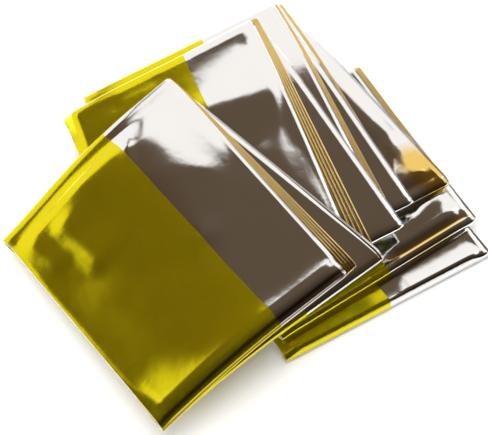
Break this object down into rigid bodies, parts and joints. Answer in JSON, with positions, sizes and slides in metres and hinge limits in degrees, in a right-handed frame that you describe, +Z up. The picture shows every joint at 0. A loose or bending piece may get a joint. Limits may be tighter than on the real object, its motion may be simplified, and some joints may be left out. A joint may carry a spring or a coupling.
{
  "type": "emergency foil blanket",
  "caption": "Metallised film emergency blanket, silver one side and gold the other, folded to a strip and fanned in a loose zigzag pile.",
  "frame": {"origin": "on the surface the pile lies on, under the middle of its footprint", "axes": "+Z up, +Y towards the far folds, +X to the right of the pictured side"},
  "size_m": [0.2272, 0.2264, 0.0362],
  "materials": {
    "film": "mirror-bright metallised polyester film, silver on one face and lemon gold on the other"
  },
  "bodies": {
    "root": {"foil_blanket": "film"}
  },
  "joints": []
}
